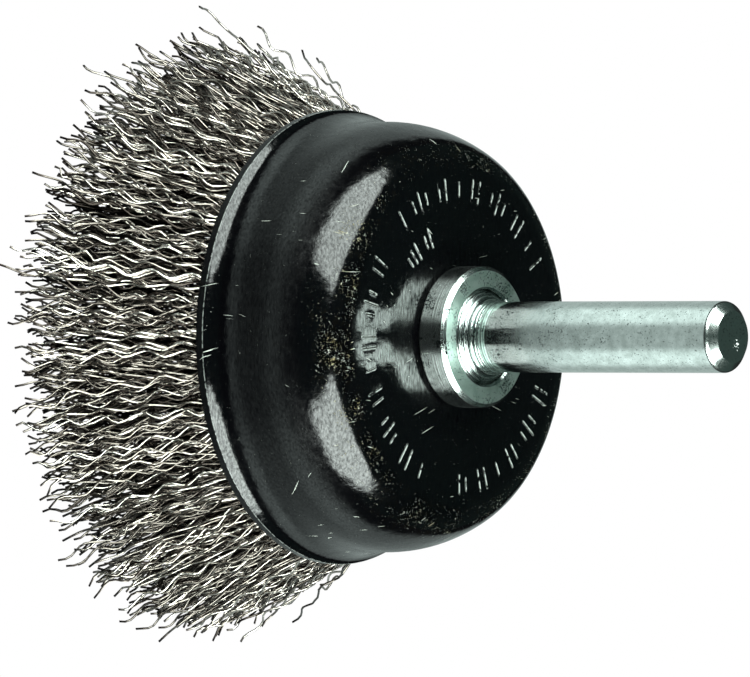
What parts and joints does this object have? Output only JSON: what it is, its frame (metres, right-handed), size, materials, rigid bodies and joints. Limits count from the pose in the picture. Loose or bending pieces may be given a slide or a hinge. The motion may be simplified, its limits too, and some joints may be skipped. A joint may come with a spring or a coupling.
{
  "type": "wire cup brush",
  "caption": "Crimped steel wire cup brush in a black pressed cup, on a straight round shank for a drill or die grinder.",
  "frame": {"origin": "middle of the ring of wire tips, on the surface that the tips stand on", "axes": "+Z along the brush's axis, from the wire tips up to the shank's end; X and Y are alike"},
  "size_m": [0.0516, 0.0508, 0.0569],
  "materials": {
    "cup_paint": "gloss",
    "zinc_plate": "satin",
    "bare_steel": "satin",
    "wire_steel": "satin"
  },
  "bodies": {
    "root": {"cup": "cup_paint", "collar": "zinc_plate", "shank": "zinc_plate", "inner_plate": "bare_steel", "retaining_ring": "bare_steel", "wire_fill": "wire_steel"}
  },
  "joints": []
}
